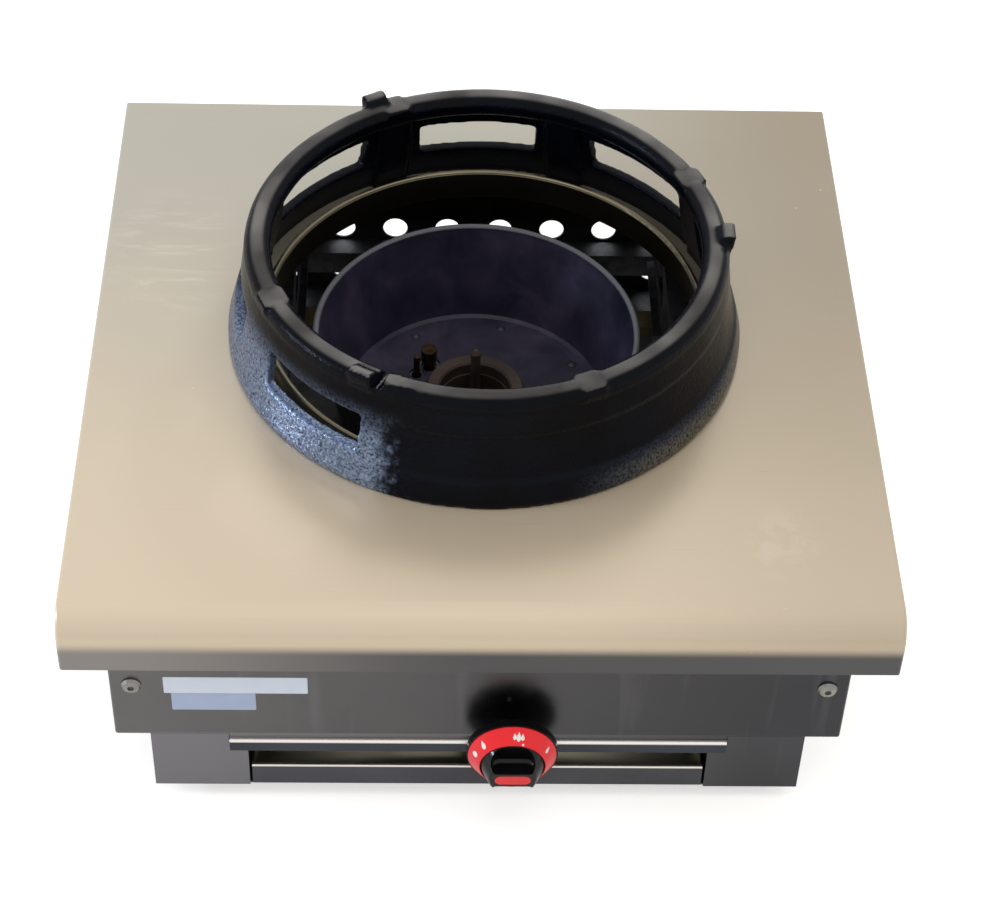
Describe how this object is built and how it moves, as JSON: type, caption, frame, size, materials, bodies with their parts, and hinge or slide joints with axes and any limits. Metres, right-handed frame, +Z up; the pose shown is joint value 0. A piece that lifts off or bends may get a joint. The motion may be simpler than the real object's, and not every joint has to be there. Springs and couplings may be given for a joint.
{
  "type": "wok range",
  "caption": "Countertop gas wok range with a round-nosed steel worktop, a loose windowed cast ring over one bowl burner, a pull-out drip tray and a gas knob.",
  "frame": {"origin": "on the counter, under the middle of the outer box", "axes": "+X to the right, +Y to the back, +Z up"},
  "size_m": [0.6, 0.658, 0.311],
  "materials": {
    "worktop_steel": "brushed, satin",
    "panel_steel": "brushed, satin",
    "zinc_steel": "galvanised",
    "bright_steel": "bright",
    "brass_fittings": "turned",
    "copper_tube": "drawn",
    "black_casting": "black enamelled, glossy",
    "black_enamel": "satin enamel",
    "foot_rubber": "matt",
    "knob_black": "glossy",
    "knob_red": "glossy"
  },
  "bodies": {
    "range_body": {"worktop": "worktop_steel", "opening_collar": "worktop_steel", "stiffener_right": "zinc_steel", "stiffener_left": "zinc_steel", "front_fascia": "panel_steel", "front_post_right": "panel_steel", "front_post_left": "panel_steel", "slot_lip": "panel_steel", "side_panel_right": "panel_steel", "side_panel_left": "panel_steel", "back_panel": "panel_steel", "base_plate": "zinc_steel", "fascia_bracket_right": "zinc_steel", "fascia_bracket_left": "zinc_steel", "fascia_bolts": "bright_steel", "front_cross_rail": "zinc_steel", "rear_cross_rail": "zinc_steel", "burner_rail_right": "zinc_steel", "burner_rail_left": "zinc_steel", "burner_plate": "zinc_steel", "burner_body": "black_casting", "burner_screws": "bright_steel", "pilot_burner": "brass_fittings", "thermocouple": "bright_steel", "pilot_bracket": "zinc_steel", "pilot_tube": "copper_tube", "thermocouple_lead": "copper_tube", "injector": "brass_fittings", "injector_holder": "brass_fittings", "burner_pipe": "copper_tube", "valve_body": "brass_fittings", "valve_bonnet": "brass_fittings", "valve_screws": "bright_steel", "supply_pipe": "bright_steel", "gas_inlet": "brass_fittings", "inlet_nut": "brass_fittings", "tray_runner_right": "zinc_steel", "tray_runner_left": "zinc_steel", "feet": "foot_rubber", "foot_screws": "bright_steel"},
    "cast_ring": {"wok_ring": "black_casting"},
    "flame_bowl": {"burner_bowl": "black_enamel"},
    "jet_cap": {"burner_cap": "black_casting"},
    "tray": {"drip_tray": "panel_steel"},
    "knob_slider": {"thrust_washer": "bright_steel"},
    "knob": {"knob_spindle": "bright_steel", "knob_body": "knob_black", "knob_skirt": "knob_red", "knob_inlay": "knob_red"}
  },
  "joints": [
    {"name": "ring_lift", "type": "slide", "parent": "range_body", "child": "cast_ring", "axis": [0, 0, 1], "range_m": [0, 0.15]},
    {"name": "bowl_lift", "type": "slide", "parent": "range_body", "child": "flame_bowl", "axis": [0, 0, 1], "range_m": [0, 0.16]},
    {"name": "cap_lift", "type": "slide", "parent": "range_body", "child": "jet_cap", "axis": [0, 0, 1], "range_m": [0, 0.12]},
    {"name": "tray_pull", "type": "slide", "parent": "range_body", "child": "tray", "axis": [0, -1, 0], "range_m": [0, 0.4]},
    {"name": "knob_push", "type": "slide", "parent": "range_body", "child": "knob_slider", "axis": [0, 1, 0], "range_m": [0, 0.003], "stiffness_N_per_m": 1500, "springref_m": -0.004},
    {"name": "knob_turn", "type": "hinge", "parent": "knob_slider", "child": "knob", "pos_m": [0.024, -0.3, 0.08], "axis": [0, -1, 0], "range_deg": [-85, 70]}
  ]
}
